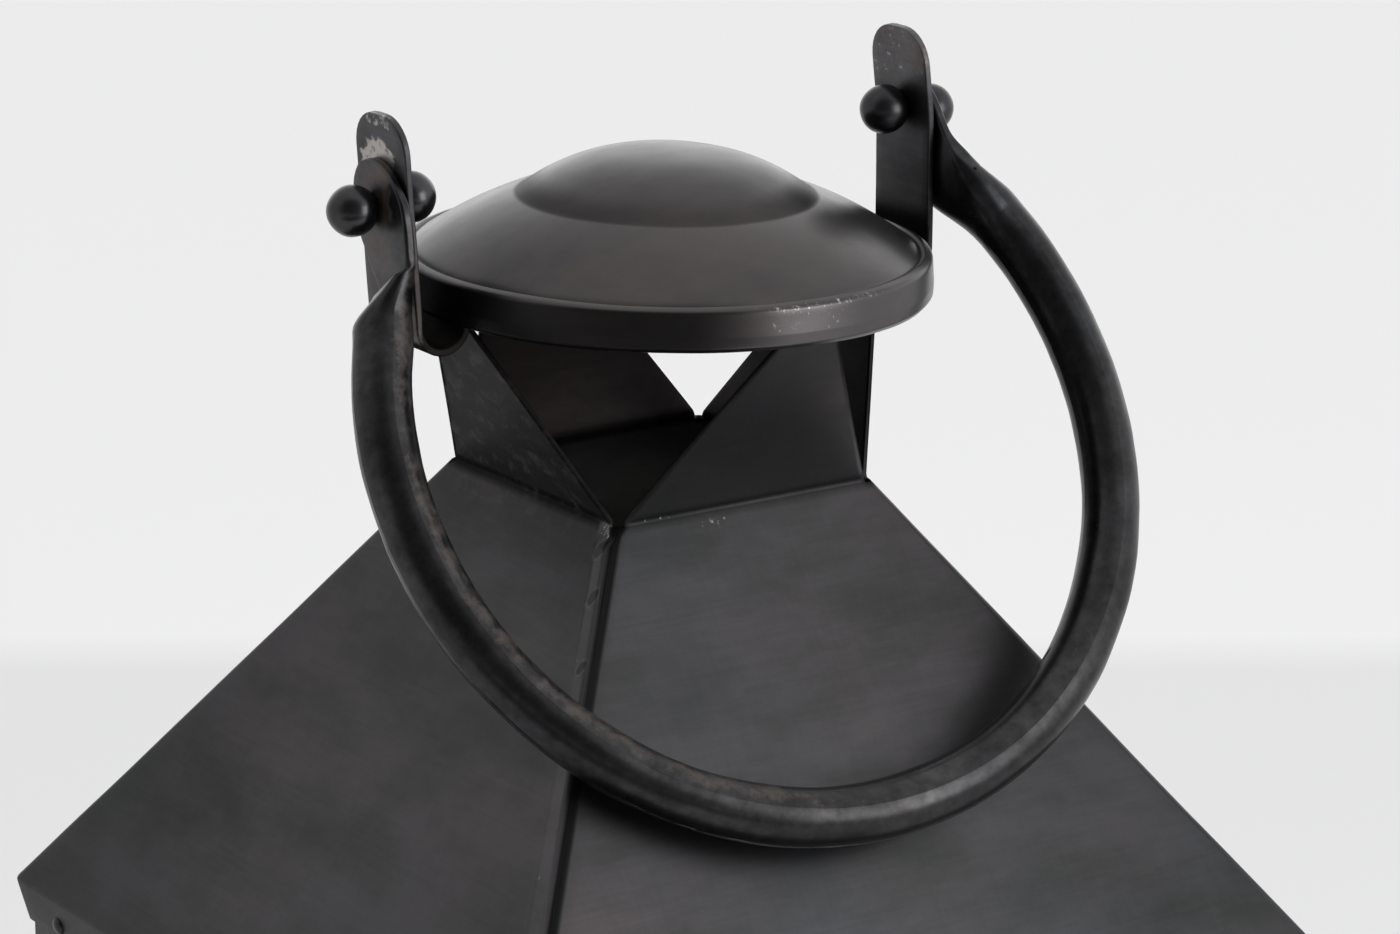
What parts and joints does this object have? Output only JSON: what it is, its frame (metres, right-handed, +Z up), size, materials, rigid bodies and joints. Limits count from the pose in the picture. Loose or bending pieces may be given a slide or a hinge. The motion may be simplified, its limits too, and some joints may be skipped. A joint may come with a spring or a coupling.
{
  "type": "candle lantern",
  "caption": "Square blackened-iron candle lantern: glazed body with a hinged door, pyramid roof with vented chimney and spun cap, and a ring handle swinging between two ears.",
  "frame": {"origin": "on the floor under the middle of the lantern", "axes": "+Z up; the door is on the -Y side; the ears of the ring handle are on the -X and +X sides"},
  "size_m": [0.288, 0.288, 0.5675],
  "materials": {
    "sheet_iron": "blackened and waxed sheet steel, satin, brushed and mottled",
    "forged_iron": "forged bar with a waxed black scale, worn brown along its edges",
    "frame_iron": "blackened steel bar, satin",
    "glass": "clear float glass",
    "wax": "cream candle wax, slightly translucent",
    "wick": "braided cotton, charred at its tip"
  },
  "bodies": {
    "lantern": {"base_pan": "sheet_iron", "feet": "forged_iron", "foot_rivets": "frame_iron", "corner_post_front_left": "frame_iron", "corner_post_front_right": "frame_iron", "corner_post_back_left": "frame_iron", "corner_post_back_right": "frame_iron", "bottom_rail_front": "frame_iron", "bottom_rail_back": "frame_iron", "bottom_rail_left": "frame_iron", "bottom_rail_right": "frame_iron", "top_rail_front": "frame_iron", "top_rail_back": "frame_iron", "top_rail_left": "frame_iron", "top_rail_right": "frame_iron", "glass_back": "glass", "glass_left": "glass", "glass_right": "glass", "glass_clips": "frame_iron", "hinge_post_leaves": "frame_iron", "hinge_pin_upper": "frame_iron", "hinge_pin_lower": "frame_iron", "turn_button_rivet": "frame_iron", "roof_sheet": "sheet_iron", "roof_rivets": "frame_iron", "cap": "sheet_iron", "ear_left": "forged_iron", "ear_right": "forged_iron", "pivot_pin_left": "forged_iron", "pivot_pin_right": "forged_iron", "ball_nut_left": "forged_iron", "ball_nut_right": "forged_iron"},
    "door": {"door_frame": "frame_iron", "door_glass": "glass", "door_clips": "frame_iron", "door_pull": "forged_iron", "hinge_door_leaves": "frame_iron"},
    "ring": {"ring_handle": "forged_iron"},
    "button": {"turn_button": "forged_iron"},
    "dish": {"candle_dish": "sheet_iron"},
    "candle": {"candle": "wax", "wick": "wick"}
  },
  "joints": [
    {"name": "ring_swing", "type": "hinge", "parent": "lantern", "child": "ring", "pos_m": [0, 0, 0.546], "axis": [-1, 0, 0], "range_deg": [0, 291]},
    {"name": "door_swing", "type": "hinge", "parent": "lantern", "child": "door", "pos_m": [-0.11125, -0.1312, 0.176], "axis": [0, 0, -1], "range_deg": [0, 110]},
    {"name": "button_turn", "type": "hinge", "parent": "lantern", "child": "button", "pos_m": [0.12, -0.1282, 0.176], "axis": [0, -1, 0], "range_deg": [0, 90]},
    {"name": "dish_lift", "type": "slide", "parent": "lantern", "child": "dish", "axis": [0, 0, 1], "range_m": [0, 0.02]},
    {"name": "candle_lift", "type": "slide", "parent": "dish", "child": "candle", "axis": [0, 0, 1], "range_m": [0, 0.04]}
  ]
}
